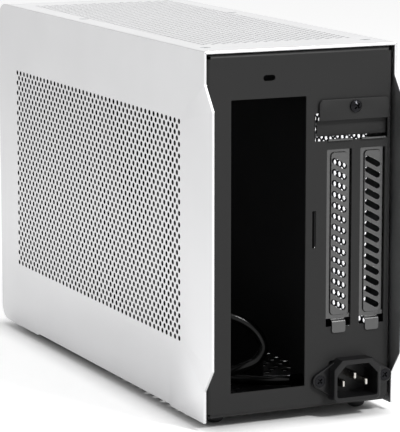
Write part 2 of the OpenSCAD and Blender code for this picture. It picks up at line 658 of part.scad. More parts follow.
// Connector on the lead's inner end, which lies on the floor until a supply unit is fitted
module mains_plug() {
  color(black) translate([plug_x, plug_y, plug_z]) difference() {
    union() {
      translate([0, -8, 0]) rotate([90, 0, 0]) linear_extrude(plug_len)
        polygon(rr(-plug_w / 2, -plug_t / 2, plug_w / 2, plug_t / 2, 3));
      translate([0, -8, 0]) rotate([-90, 0, 0]) cylinder(r1 = 6, r2 = lead_d / 2 + 1, h = 8);
    }
    for (p = [[-7, -2], [0, 2], [7, -2]])
      translate([p[0] - 1.2, -9 - plug_len, p[1] - 2.3]) cube([2.4, 18, 4.6]);
  }
}

// Power button with its stem, pressed towards +Y
module power_button() {
  color(silver) {
    rod_y(controls_x, y_f + 0.2, bz, button_d / 2, 3.4);
    rod_y(controls_x, y_f + 3.6, bz, 2, pcb_y - switch_t - button_travel - 0.2 - y_f - 3.6);
  }
}
module button_guide() {
  color(black) difference() {
    rod_y(controls_x, y_f + sheet, bz, button_d / 2 + 2, 4.2 - 0.3);
    rod_y(controls_x, y_f, bz, button_d / 2 + 0.3, 3.6 + button_travel + 0.2);
    rod_y(controls_x, y_f, bz, 2.3, 9);
  }
}
// Push switch on the front board
module power_switch() {
  color(grey) union() {
    translate([controls_x - 3, pcb_y - switch_t + 1, bz - 3]) cube([6, switch_t - 1, 6]);
    rod_y(controls_x, pcb_y - switch_t, bz, 1.75, 1);
  }
}
module front_board() {
  color([0.1, 0.25, 0.15]) xz(pcb_y, pcb) polygon(rr(controls_x - 9, bz - 8, controls_x + 9, uz + 10, 1, 2));
}
module usb_socket() {
  color(steel_c) difference() {
    xz(y_f + 0.2, pcb_y - y_f - 0.2)
      polygon(rr(controls_x - 2.85, uz - 6.55, controls_x + 2.85, uz + 6.55, 0.5, 2));
    translate([controls_x - 2.45, y_f, uz - 6.15]) cube([1.2, 7.5, 12.3]);
    translate([controls_x + 0.65, y_f, uz - 6.15]) cube([1.8, 7.5, 12.3]);
    translate([controls_x - 2.45, y_f, uz - 6.15]) cube([4.9, 1.6, 12.3]);
  }
}
// Rubber bumper with a push-in stem through a sheet of thickness t, its shoulder at top
module bumper(top, t) {
  r = foot_d / 2;
  dome = 3.2;
  rotate_extrude() polygon(concat([for (i = [0:6]) [r * sin(15 * i), dome * (1 - cos(15 * i))]],
    [[r, top], [2, top], [2, top + t], [2.9, top + t], [1.6, top + t + 1.4], [0, top + t + 1.4]]));
}
module feet() {
  color(black) for (x = [-foot_x / 2, foot_x / 2]) {
    translate([x, y_r - foot_y, 0]) bumper(z_fl, steel);
    translate([x, y_f + foot_y, 0]) bumper(z_lo, 2 * steel);
  }
}

board_side_panel();
card_side_panel();
board_panel_studs();
card_panel_studs();
front_top_cover();
cover_screws();
clinch_nuts();
rear_panel();
floor_pan();
front_frame();
board_side_rail();
card_side_rail();
panel_clips();
motherboard_tray();
board_standoffs();
psu_bracket();
slot_cover_inner();
slot_cover_outer();
slot_retainer();
retainer_screw();
mains_inlet();
inlet_pins();
inlet_screws();
mains_lead();
mains_plug();
power_button();
button_guide();
power_switch();
front_board();
usb_socket();
feet();
chassis_rivets();
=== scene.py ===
import json
from math import acos, atan2, cos, hypot, pi, radians, sin, tan

import bmesh
import bpy
from bpy.props import FloatProperty, FloatVectorProperty, IntProperty, PointerProperty
from mathutils import Matrix, Vector
from mathutils.geometry import delaunay_2d_cdt


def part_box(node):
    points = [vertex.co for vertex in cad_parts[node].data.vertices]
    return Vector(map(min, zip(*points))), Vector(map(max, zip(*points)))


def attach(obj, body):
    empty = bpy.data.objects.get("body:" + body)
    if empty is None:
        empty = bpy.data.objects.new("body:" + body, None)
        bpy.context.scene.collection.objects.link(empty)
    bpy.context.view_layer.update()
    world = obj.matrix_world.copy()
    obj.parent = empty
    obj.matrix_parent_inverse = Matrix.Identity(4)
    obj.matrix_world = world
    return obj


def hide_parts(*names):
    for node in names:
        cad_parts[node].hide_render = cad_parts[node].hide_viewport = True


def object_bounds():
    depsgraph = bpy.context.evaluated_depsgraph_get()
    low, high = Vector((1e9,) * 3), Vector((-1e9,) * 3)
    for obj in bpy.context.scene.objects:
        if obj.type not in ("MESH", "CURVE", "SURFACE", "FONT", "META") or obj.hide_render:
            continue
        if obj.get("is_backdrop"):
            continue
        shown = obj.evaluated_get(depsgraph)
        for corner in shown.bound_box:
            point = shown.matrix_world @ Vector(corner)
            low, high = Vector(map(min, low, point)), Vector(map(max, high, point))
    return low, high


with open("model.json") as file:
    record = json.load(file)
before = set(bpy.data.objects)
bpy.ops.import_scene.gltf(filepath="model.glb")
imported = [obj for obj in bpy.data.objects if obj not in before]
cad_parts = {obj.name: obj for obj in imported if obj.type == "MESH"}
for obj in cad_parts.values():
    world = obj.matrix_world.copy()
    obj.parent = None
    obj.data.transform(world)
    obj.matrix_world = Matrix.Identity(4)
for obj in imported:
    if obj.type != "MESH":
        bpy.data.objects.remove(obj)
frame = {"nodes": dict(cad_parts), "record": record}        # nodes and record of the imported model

bl_info = {
    "name": "Small form factor computer case",
    "version": (1, 0, 0),
    "blender": (4, 5, 0),
    "location": "3D View > Sidebar > Case",
    "description": "Perforated aluminium shell, slot covers, mains inlet and finishes of a slim case",
    "category": "Object",
}

MM = 0.001
BEND_STEPS = 8          # points along a bend of the cover
SCREW_STEPS = 28        # points round a countersink and its hole
CAD_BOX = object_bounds()
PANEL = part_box("board_side_panel")
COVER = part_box("front_top_cover")
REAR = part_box("rear_panel")


def linear(code):
    """Linear colour with alpha from an sRGB hex code."""
    channels = [int(code[i:i + 2], 16) / 255 for i in (0, 2, 4)]
    toned = [c / 12.92 if c <= 0.04045 else ((c + 0.055) / 1.055) ** 2.4 for c in channels]
    return (*toned, 1.0)


def length(label, text, value):
    """A length property, from its default in mm."""
    return FloatProperty(name=label, description=text, default=value * MM, unit="LENGTH", precision=5)


def tilt(label, text, value):
    """An angle property in radians."""
    return FloatProperty(name=label, description=text, default=value, subtype="ANGLE")


def number(label, text, value, least=2):
    """A whole number property."""
    return IntProperty(name=label, description=text, default=value, min=least)


def colour(label, text, code):
    """A colour property that starts from a hex code."""
    return FloatVectorProperty(
        name=label, description=text, default=linear(code), size=4, min=0, max=1, subtype="COLOR")


class ShellSettings(bpy.types.PropertyGroup):
    sheet: length("Sheet", "Thickness of the aluminium sheets", (PANEL[1].x - PANEL[0].x) / MM)
    corner: length("Corner radius", "Outside radius of the front bends", 10)
    lip: length("Lip", "Length of the cover's lip under the front edge", 16)
    grip_plain: length("Grip margin", "Plain height above and below a grip", 17.5)
    grip_run: length("Grip slant", "Height over which a grip slants out", 13)
    grip_round: length("Grip rounding", "Radius of the grip's outline corners", 1.2)
    relief: length("Relief", "Depth of the relief in a side panel's bottom edge", 1)
    relief_rear: length("Relief start", "Distance of the relief from the rear edge", 42)
    relief_length: length("Relief length", "Length of the relief", 203)
    edge: length("Broken edge", "Width of the broken edges of a sheet", 0.18)
    hole: length("Hole", "Diameter of a hole of the perforation", 2.9)
    top_hole: length("Top hole", "Diameter of a hole of the cover", 2.6)
    pitch_along: length("Pitch along", "Pitch of the holes along the depth", 5.651)
    pitch_across: length("Pitch across", "Pitch of the holes across the depth", 6.256)
    columns: number("Columns", "Holes in a full row along the depth", 44)
    side_rows: number("Side rows", "Full rows on a side panel", 20)
    top_rows: number("Top rows", "Full rows on the top", 15)
    silver: colour("Silver", "Clear anodised aluminium", "EAEAEB")


class RearSettings(bpy.types.PropertyGroup):
    steel: length("Steel", "Thickness of the rear sheet", 1)
    slot_sheet: length("Slot cover sheet", "Thickness of a slot cover", 0.9)
    slot_width: length("Slot cover width", "Width of a slot cover in its opening", 13.8)
    field_width: length("Raised field width", "Width of a slot cover's raised field", 10.4)
    field_rise: length("Raised field height", "Height of a slot cover's raised field", 0.9)
    flange_depth: length("Flange depth", "How far a slot cover's long edge is turned in", 2.6)
    vent_long: length("Vent length", "Length of a slanted vent", 10.2)
    vent_wide: length("Vent width", "Width of a slanted vent", 3.1)
    vent_pitch: length("Vent pitch", "Pitch of the slanted vents", 5.98)
    vents: number("Vents", "Slanted vents in a slot cover", 14, 1)
    vent_angle: tilt("Vent slant", "Slant of a vent", radians(29))
    retainer_sheet: length("Retainer sheet", "Thickness of the retaining plate", 1.2)
    retainer_rise: length("Retainer height", "How far the retaining plate stands out", 1.6)
    retainer_step: length("Retainer step", "How far the plate folds back", 3.4)
    retainer_slant: length("Retainer slant", "Height of the plate's fold", 0.5)
    black: colour("Chassis", "Powder coat of the chassis", "2C2C2C")
    zinc: colour("Slot covers", "Zinc plating of the slot covers", "5E5E5E")


class PlasticSettings(bpy.types.PropertyGroup):
    inlet_width: length("Inlet width", "Width of the inlet's housing", 28.4)
    inlet_height: length("Inlet height", "Height of the inlet's housing", 23.4)
    inlet_chamfer: length("Inlet chamfer", "Chamfer of the housing's upper corners", 5)
    flange: length("Inlet flange", "Thickness of the inlet's flange", 2.5)
    screw_span: length("Screw span", "Distance between the inlet's screws", 40)
    recess_width: length("Recess width", "Width of the inlet's recess", 24.6)
    recess_height: length("Recess height", "Height of the inlet's recess", 18)
    recess_depth: length("Recess depth", "Depth of the inlet's recess", 15.5)
    lead: length("Lead", "Diameter of the mains lead", 5.6)
    nylon: colour("Inlet", "Moulded black nylon", "131314")
    vinyl: colour("Lead", "Jacket of the mains lead", "060606")


class StageSettings(bpy.types.PropertyGroup):
    place: FloatVectorProperty(name="Camera place", description="Where the camera stands", size=3,
                               default=(0.6412, 1.4152, 0.3589), subtype="TRANSLATION", unit="LENGTH")
    yaw: tilt("Camera yaw", "Turn of the camera from the rear face", 0.4303)
    pitch: tilt("Camera pitch", "Tilt of the camera downwards", 0.1714)
    lens: FloatProperty(name="Lens", description="Focal length in millimetres", default=223.47)
    sky: FloatProperty(name="Sky", description="Strength of the soft light from all round", default=0.5)
    floor: colour("Floor", "Pale studio floor", "F2F2F2")


def circle(centre, radius, steps=16, turn=0.5):
    """Closed outline of a circle in a flat plane."""
    return [Vector((centre[0] + radius * cos(2 * pi * (i + turn) / steps),
                    centre[1] + radius * sin(2 * pi * (i + turn) / steps))) for i in range(steps)]


def slot_shape(centre, long, wide, angle, steps=8):
    """Closed outline of a slot with round ends."""
    reach = (long - wide) / 2
    along = Vector((cos(angle), sin(angle)))
    loop = []
    for sign in (1, -1):
        for i in range(steps + 1):
            a = angle + (0 if sign > 0 else pi) - pi / 2 + pi * i / steps
            loop.append(Vector(centre) + sign * reach * along + wide / 2 * Vector((cos(a), sin(a))))
    return loop


def outline(corners, steps=6):
    """Outline through corners given as (x, y, radius, tag), and the tag of each point's next edge."""
    points, tags = [], []
    for i, (x, y, radius, tag) in enumerate(corners):
        here = Vector((x, y))
        back = (Vector(corners[i - 1][:2]) - here).normalized()
        ahead = (Vector(corners[(i + 1) % len(corners)][:2]) - here).normalized()
        if radius == 0:
            points.append(here)
            tags.append(tag)
            continue
        half = back.angle(ahead) / 2
        centre = here + (back + ahead).normalized() * radius / sin(half)
        first = here + back * radius / tan(half) - centre
        last = here + ahead * radius / tan(half) - centre
        sweep = first.angle_signed(last)
        for k in range(steps + 1):
            points.append(centre + Matrix.Rotation(-sweep * k / steps, 2) @ first)
            tags.append(tag)
    return points, tags


def cut_at(points, levels):
    """Outline with extra points where it crosses levels, and the pairs of points at each level."""
    cut = []
    for a, b in zip(points, points[1:] + points[:1]):
        cut.append(a)
        inner = [v for v in levels if min(a.y, b.y) + 1e-7 < v < max(a.y, b.y) - 1e-7]
        for level in sorted(inner, reverse=b.y < a.y):
            cut.append(a.lerp(b, (level - a.y) / (b.y - a.y)))
    pairs = []
    for level in levels:
        on = [i for i, p in enumerate(cut) if abs(p.y - level) < 1e-7]
        if len(on) == 2:
            pairs.append(tuple(on))
    return cut, pairs


def rounded(x0, y0, x1, y1, radius, steps=5):
    """Outline of a rectangle with round corners."""
    return outline([(x0, y0, radius, 0), (x1, y0, radius, 0), (x1, y1, radius, 0), (x0, y1, radius, 0)],
                   steps)[0]


def inset(points, amounts):
    """Outline moved inwards, by one distance for each edge that starts at a point."""
    moved = []
    for i, point in enumerate(points):
        before = (point - points[i - 1]).normalized()
        after = (points[(i + 1) % len(points)] - point).normalized()
        n0, n1 = Vector((-before.y, before.x)), Vector((-after.y, after.x))
        a, b = amounts[i - 1], amounts[i]
        det = n0.x * n1.y - n0.y * n1.x
        if abs(det) < 1e-4:
            shift = (n0 * a + n1 * b) / 2
        else:
            shift = Vector((a * n1.y - b * n0.y, b * n0.x - a * n1.x)) / det
        moved.append(point + shift)
    return moved


def inside(point, loop):
    """Whether a flat point lies inside a closed outline."""
    found = False
    for a, b in zip(loop, loop[1:] + loop[:1]):
        if (a.y > point.y) != (b.y > point.y):
            if point.x < a.x + (point.y - a.y) / (b.y - a.y) * (b.x - a.x):
                found = not found
    return found


def staggered(centre, columns, rows, pitch_along, pitch_across):
    """Centres of a staggered field of holes, whose in-between rows are one hole shorter."""
    centres = []
    for offset in (0, 1):
        for i in range(columns - offset):
            for j in range(rows - offset):
                centres.append((centre[0] + (i + offset / 2 - (columns - 1) / 2) * pitch_along,
                                centre[1] + (j + offset / 2 - (rows - 1) / 2) * pitch_across))
    return centres


def eased(share):
    """Smooth step from 0 to 1 over a share from 0 to 1."""
    share = min(max(share, 0), 1)
    return share * share * (3 - 2 * share)


def region(rim, holes, rings=(), creases=()):
    """Flat points and triangles inside a rim and outside its holes. Rings are extra loops to keep."""
    loops = [rim, *holes, *rings]
    points, owner, edges = [], [], list(creases)
    for k, loop in enumerate(loops):
        first, count = len(points), len(loop)
        points += loop
        owner += [k] * count
        edges += [(first + i, first + (i + 1) % count) for i in range(count)]
    flat = [Vector((p[0], p[1])) / MM for p in points]
    _, _, faces, origin, _, _ = delaunay_2d_cdt(flat, edges, [], 1, 1e-5)
    triangles = []
    for face in faces:
        corners = [origin[i][0] for i in face]
        owners = {owner[i] for i in corners}
        middle = sum((points[i] for i in corners), Vector((0, 0))) / 3
        k = owners.pop()
        if owners or not 0 < k <= len(holes) or not inside(middle, loops[k]):
            triangles.append(corners)
    return points, triangles


def band(first, second, count):
    """Faces between two closed loops of the same number of points."""
    return [(first + i, first + (i + 1) % count, second + (i + 1) % count, second + i)
            for i in range(count)]


def sheet(rims, depths, place, holes=(), rings=(), creases=()):
    """Closed sheet. Rims are its outline at each depth, holes are (front loop, back loop) pairs."""
    fronts, backs = [h[0] for h in holes], [h[1] for h in holes]
    flat, triangles = region(rims[0], fronts, rings, creases)
    count, rim_total = len(rims[0]), len(rims[0]) * len(rims)
    points = [place(p, depth) for rim, depth in zip(rims, depths) for p in rim]
    points += [place(p, depths[0]) for p in flat[count:]]
    behind = flat[count:]
    behind[:sum(len(b) for b in backs)] = [p for loop in backs for p in loop]
    points += [place(p, depths[-1]) for p in behind]
    inner, back_rim, back_inner = rim_total, rim_total - count, rim_total + len(behind)
    faces = []
    for triangle in triangles:
        faces.append([i if i < count else inner + i - count for i in triangle])
        faces.append([back_rim + i if i < count else back_inner + i - count for i in reversed(triangle)])
    for k in range(len(rims) - 1):
        faces += band(k * count, (k + 1) * count, count)
    start = 0
    for loop in fronts:
        faces += [(*face, "wall") for face in band(inner + start, back_inner + start, len(loop))]
        start += len(loop)
    return points, faces


def loft(rings):
    """Closed skin over rings of matching points."""
    count = len(rings[0])
    faces = [f for k in range(len(rings) - 1) for f in band(k * count, (k + 1) * count, count)]
    faces.append(tuple(range(count)))
    faces.append(tuple(range((len(rings) - 1) * count, len(rings) * count)))
    return [p for ring in rings for p in ring], faces


def tube(path, radius, steps=16):
    """Round tube along a path of points."""
    rings, side = [], Vector((0, 0, 1))
    for i, point in enumerate(path):
        ahead = (path[min(i + 1, len(path) - 1)] - path[max(i - 1, 0)]).normalized()
        side = (side - ahead * side.dot(ahead)).normalized()
        up = ahead.cross(side)
        rings.append([point + side * p.x + up * p.y for p in circle((0, 0), radius, steps)])
    return loft(rings)


class Fold:
    """Side view of a folded strip: straight runs and bends that follow one another along its front."""

    def __init__(self, start, heading, normal, runs, steps=BEND_STEPS):
        self.runs, self.stations, along = [], [], 0
        point, ahead, out = Vector(start), Vector(heading), Vector(normal)
        for size, radius in runs:
            self.runs.append((along, size, point, ahead, out, radius))
            if radius:
                self.stations += [along + size * k / steps for k in range(steps + 1)]
            end = along + size
            point, ahead, out = self.frame(end, self.runs[-1])
            along = end
        self.length = along

    def frame(self, along, run):
        """Point, heading and normal at a length along the strip."""
        start, _, point, ahead, out, radius = run
        if not radius:
            return point + ahead * (along - start), ahead, out
        angle = (along - start) / radius
        normal = out * cos(angle) + ahead * sin(angle)
        return point + radius * (normal - out), ahead * cos(angle) - out * sin(angle), normal

    def at(self, along, depth):
        """Point at a length along the strip and a depth behind its front."""
        run = next((r for r in reversed(self.runs) if along >= r[0] - 1e-9), self.runs[0])
        point, _, normal = self.frame(along, run)
        return point - normal * depth


def bend(radius):
    """A right-angle bend, as the length and radius of its front face. A hollow bend's is negative."""
    return abs(radius) * pi / 2, radius


def joined(parts):
    """One list of points, one of faces and one that marks the walls of holes."""
    points, faces, walls = [], [], []
    for some, more in parts:
        for face in more:
            walls.append(int(face[-1] == "wall"))
            faces.append([i + len(points) for i in face if i != "wall"])
        points += some
    return points, faces, walls


def shape(name, parts, finishes, crisp=35):
    """An object made of parts, smooth up to an angle. A second finish goes on the walls of holes."""
    points, faces, walls = joined(parts)
    mesh = bpy.data.meshes.new(name)
    mesh.from_pydata(points, [], faces)
    if len(finishes) > 1:
        mesh.polygons.foreach_set("material_index", walls)
    work = bmesh.new()
    work.from_mesh(mesh)
    bmesh.ops.remove_doubles(work, verts=work.verts, dist=2e-7)
    bmesh.ops.recalc_face_normals(work, faces=work.faces)
    work.to_mesh(mesh)
    work.free()
    mesh.shade_smooth()
    mesh.set_sharp_from_angle(angle=radians(crisp))
    for one in finishes:
        mesh.materials.append(one)
    made = bpy.data.objects.new(name, mesh)
    bpy.context.scene.collection.objects.link(made)
    return made


def piece(name, parts, slot, stands_for, crisp=35, walls=(), body="chassis"):
    """A shown piece that rides on a body, takes its finish from a slot and replaces CAD nodes."""
    made = shape(name, parts, [finish(slot), *walls], crisp)
    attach(made, body)
    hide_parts(*stands_for)


def add(tree, kind, inputs=None, **settings):
    """Adds a node with its settings, values and links."""
    made = tree.nodes.new(kind)
    for name, value in settings.items():
        setattr(made, name, value)
    for name, value in (inputs or {}).items():
        if isinstance(value, bpy.types.NodeSocket):
            tree.links.new(value, made.inputs[name])
        else:
            made.inputs[name].default_value = value
    return made


def maths(tree, operation, *values):
    """Result of a maths node on numbers and sockets."""
    return add(tree, "ShaderNodeMath", dict(enumerate(values)), operation=operation).outputs[0]


def finish_tree(name):
    """A new material, its node tree and its shader, or the material alone if it is there already."""
    found = bpy.data.materials.get(name)
    if found:
        return found, None, None
    material = bpy.data.materials.new(name)
    material.use_nodes = True
    tree = material.node_tree
    return material, tree, tree.nodes["Principled BSDF"]


def grained(name, base, metallic, roughness, texture, clouds=None, specular=0.5):
    """A surface with a texture and soft clouds of tone and gloss.

    The texture is its grain and height in mm, the clouds are their size in mm and what they add to
    the roughness or take from it.
    """
    material, tree, shader = finish_tree(name)
    if tree is None:
        return material
    place = add(tree, "ShaderNodeTexCoord").outputs["Object"]
    scale, height = 1 / (texture[0] * MM), texture[1] * MM
    fine = add(tree, "ShaderNodeTexNoise", {"Vector": place, "Scale": scale, "Detail": 2.0})
    bump = add(tree, "ShaderNodeBump", {"Height": fine.outputs["Fac"], "Distance": height})
    tree.links.new(bump.outputs["Normal"], shader.inputs["Normal"])
    for socket, value in {"Metallic": metallic, "Base Color": base, "Roughness": roughness,
                          "Specular IOR Level": specular}.items():
        shader.inputs[socket].default_value = value
    if clouds:
        scale, spread, low, high, shade = 1 / (clouds[0] * MM), clouds[1], 0.3, 0.7, 0.93
        wide = add(tree, "ShaderNodeTexNoise", {"Vector": place, "Scale": scale, "Detail": 3.0})
        share = wide.outputs["Fac"]
        gloss = add(tree, "ShaderNodeMapRange", {
            "Value": share, "From Min": low, "From Max": high,
            "To Min": roughness - spread, "To Max": roughness + spread})
        tree.links.new(gloss.outputs["Result"], shader.inputs["Roughness"])
        darker = (*(c * shade for c in base[:3]), 1.0)
        tone = add(tree, "ShaderNodeMix", {0: share, 6: darker, 7: base}, data_type="RGBA")
        tree.links.new(tone.outputs[2], shader.inputs["Base Color"])
    return material


# Blasted with glass beads and clear anodised: an even silver with a soft sheen and no brush lines.
# The real grain is about 0.05 mm, drawn at 0.5 mm so that it still breaks up the reflections.
def anodised_aluminium(settings):
    return grained("bead blasted anodised aluminium", tuple(settings.silver), 1.0, 0.34,
                   texture=(0.5, 0.004), clouds=(40, 0.03))


# The punch leaves the edge of a hole burnished, the same aluminium as the sheet. Its tone is painted reflection
# and shade: black on the board side before the black tray, near white on the open side, light grey on the cover.
def painted_reflection_edge(kind):
    tone, gloss = {"shaded": ("141415", 0.5), "bright": ("EEEEF0", 0.2), "upper": ("D4D4D6", 0.5)}[kind]
    return grained(f"{kind} punched edge with painted reflection", linear(tone), 1.0, gloss, texture=(0.6, 0.001))


# Baked polyester powder over steel: satin black with a faint orange peel about 1 mm across.
def powder_coat(settings):
    return grained("satin black powder coated steel", tuple(settings.black), 0.0, 0.4,
                   texture=(1.1, 0.008), clouds=(60, 0.04), specular=0.12)


# Flat black on the inner frames, tray and floor pan, darker than the powder coat: painted shade that keeps the
# inside of the case dark.
def painted_shade_black():
    return grained("matte black steel with painted interior shade", linear("0C0C0D"), 0.0, 0.6, texture=(0.8, 0.006),
                   clouds=(50, 0.05), specular=0.12)


# Zinc plated and passivated sheet: mid grey metal with a dull, slightly clouded surface.
def zinc_plate(settings):
    return grained("dull zinc plated steel", tuple(settings.zinc), 1.0, 0.32, texture=(0.6, 0.006),
                   clouds=(6, 0.06))


# Glass filled nylon moulded in a spark eroded tool: black with a fine matte texture.
def moulded_nylon(settings):
    return grained("moulded black nylon", tuple(settings.nylon), 0.0, 0.32, texture=(0.45, 0.008),
                   clouds=(8, 0.03), specular=0.3)


# Extruded PVC: smooth and dark, with a long soft highlight along the lead.
def vinyl_jacket(settings):
    return grained("extruded black vinyl", tuple(settings.vinyl), 0.0, 0.22, texture=(1.5, 0.006),
                   specular=0.2)


# Nickel over brass: bright and slightly warm, with the fine scratches of a stamped blade.
def nickel_plate():
    return grained("nickel plated brass", linear("C9C6C0"), 1.0, 0.22, texture=(0.4, 0.004))


# Steel blackened in hot oxide: near black, oily and rather glossy on turned faces.
def black_oxide():
    return grained("black oxide steel", linear("242426"), 1.0, 0.22, texture=(0.5, 0.006))


# Bright zinc on turned steel, as on small countersunk screws and studs.
def bright_zinc():
    return grained("bright zinc plated steel", linear("A9ABAD"), 1.0, 0.3, texture=(0.5, 0.006))


# Moulded silicone rubber: matte, grippy and a little dusty.
def silicone_rubber():
    return grained("moulded silicone rubber", linear("19191A"), 0.0, 0.62, texture=(0.5, 0.01),
                   clouds=(5, 0.05), specular=0.35)


# Acetal clips: milky grey and waxy.
def acetal():
    return grained("moulded grey acetal", linear("8C8D8E"), 0.0, 0.4, texture=(0.6, 0.01))


# Glass epoxy board under green solder resist.
def epoxy_board():
    return grained("green solder resist", linear("12351F"), 0.0, 0.25, texture=(1.2, 0.01))


def finish(slot):
    """The material of one of the record's slots."""
    scene = bpy.context.scene
    makers = {
        "shell_aluminium": lambda: anodised_aluminium(scene.case_shell),
        "chassis_paint": lambda: powder_coat(scene.case_rear),
        "zinc_sheet": lambda: zinc_plate(scene.case_rear),
        "moulded_black": lambda: moulded_nylon(scene.case_plastic),
        "lead_jacket": lambda: vinyl_jacket(scene.case_plastic),
        "bright_steel": bright_zinc, "clip_plastic": acetal,
        "contact_pins": nickel_plate, "black_screw": black_oxide, "circuit_board": epoxy_board,
        "foot_rubber": silicone_rubber}
    return makers[slot]()


def shell_corners(shell):
    """Corners of a side panel's outline, along the depth and up, tagged 1 where the edge is mitred."""
    front, rear, reach = COVER[0].y, COVER[1].y, PANEL[1].y
    low, high = COVER[0].z, COVER[1].z
    lip_end = front + shell.corner + shell.lip
    low_grip, high_grip = low + shell.grip_plain, high - shell.grip_plain
    near, far = rear - shell.relief_rear, rear - shell.relief_rear - shell.relief_length
    ramp, fade, rear_round = 3 * MM, 0.5 * MM, 0.6 * MM
    return [
        (front, low, shell.corner, 1), (lip_end - fade, low, 0, 0.5), (lip_end + fade, low, 0, 0),
        (far, low, shell.relief, 0), (far + ramp, low + shell.relief, shell.relief, 0),
        (near - ramp, low + shell.relief, shell.relief, 0), (near, low, shell.relief, 0),
        (rear, low, rear_round, 0), (rear, low_grip, shell.grip_round, 0),
        (reach, low_grip + shell.grip_run, shell.grip_round, 0),
        (reach, high_grip - shell.grip_run, shell.grip_round, 0),
        (rear, high_grip, shell.grip_round, 0), (rear, high, 0, 1), (front, high, shell.corner, 1)]


def broken_rims(points, mitres, sheet_depth, edge):
    """Rims of a sheet with mitred and plain edges, all slightly broken, with their depths."""
    def rim(plain, mitred):
        return inset(points, [plain + (mitred - plain) * m for m in mitres])
    facet, mitre_facet, mitre_end = 0.35 * edge, 0.6 * edge, sheet_depth + 0.4 * edge
    depths = [0, facet, edge, sheet_depth - edge, sheet_depth]
    rims = [rim(edge, edge), rim(facet, mitre_facet), rim(0, edge), rim(0, sheet_depth - edge),
            rim(edge, mitre_end)]
    return rims, depths


def flat_centres(name, level):
    """Middles, across and along, of the groups of a node's corners that lie at a level."""
    flat, reach, groups = 0.05 * MM, 8 * MM, []
    for vertex in frame["nodes"][name].data.vertices:
        spot = vertex.co
        if abs(spot.z - level) > flat:
            continue
        near = next((g for g in groups if (g[0].xy - spot.xy).length < reach), None)
        if near is None:
            groups.append([spot.copy()])
        else:
            near.append(spot.copy())
    middles = []
    for group in groups:
        xs, ys = [p.x for p in group], [p.y for p in group]
        middles.append(Vector(((min(xs) + max(xs)) / 2, (min(ys) + max(ys)) / 2)))
    return middles


def cross_loop(reach, thick):
    """Closed outline of a cross recess."""
    a, b = thick, reach
    corners = [(b, -a), (b, a), (a, a), (a, b), (-a, b), (-a, a), (-b, a), (-b, -a), (-a, -a),
               (-a, -b), (a, -b), (a, -a)]
    return [Matrix.Rotation(pi / 4, 2) @ Vector(c) for c in corners]


def screw_head(origin, axis, radius, reach, depth, sides, dome=0.0):
    """Head with a cross recess. Sides are (radius, height) points from the rim down to the shank."""
    steps, mouth_arm, pit_share, pit_arm = 32, 0.24, 0.72, 0.17
    turn = Vector((0, 0, 1)).rotation_difference(Vector(axis))
    rim = circle((0, 0), radius, steps)
    mouth, pit = cross_loop(reach, reach * mouth_arm), cross_loop(reach * pit_share, reach * pit_arm)
    ring_shares = (0.72, 0.86, 0.95) if dome else (0.86,)
    flat, faces = region(rim, [mouth], [circle((0, 0), radius * k, steps) for k in ring_shares])

    def lifted(p):
        return Vector((p.x, p.y, dome * (1 - (p.length / radius) ** 2)))
    points = [lifted(p) for p in flat]
    faces = [list(f) for f in faces]
    start = len(points)
    points += [Vector((p.x, p.y, dome - depth)) for p in pit]
    faces += band(len(rim), start, len(pit))
    faces.append(list(range(start, start + len(pit))))
    last = 0
    for size, height in sides:
        start = len(points)
        points += [Vector((*p, height)) for p in circle((0, 0), size, steps)]
        faces += band(last, start, len(rim))
        last = start
    faces.append(list(range(last, last + len(rim))))
    return [Vector(origin) + turn @ p for p in points], faces


class CASE_OT_side_panels(bpy.types.Operator):
    """Perforated side panels with mitred edges and rear grips"""
    bl_idname = "case.side_panels"
    bl_label = "Side panels"

    def execute(self, context):
        shell = context.scene.case_shell
        points, mitres = outline(shell_corners(shell), steps=8)
        rims, depths = broken_rims(points, mitres, shell.sheet, shell.edge)
        middle = ((COVER[0].y + COVER[1].y) / 2, (COVER[0].z + COVER[1].z) / 2)
        centres = staggered(middle, shell.columns, shell.side_rows, shell.pitch_along, shell.pitch_across)
        holes = [(circle(c, shell.hole / 2), circle(c, shell.hole / 2)) for c in centres]

        def place(p, depth):
            return Vector((PANEL[1].x - depth, p[0], p[1]))
        corners, faces = sheet(rims, depths, place, holes)
        mirrored = [Vector((-p.x, p.y, p.z)) for p in corners]
        # Hole edges: painted shade on the board side, painted reflection of daylight on the card side.
        for side, some, kind in (("board", corners, "shaded"), ("card", mirrored, "bright")):
            piece(f"{side}_side_sheet", [(some, faces)], "shell_aluminium", [f"{side}_side_panel"],
                  walls=[painted_reflection_edge(kind)], body=f"{side}_panel")
        return {"FINISHED"}


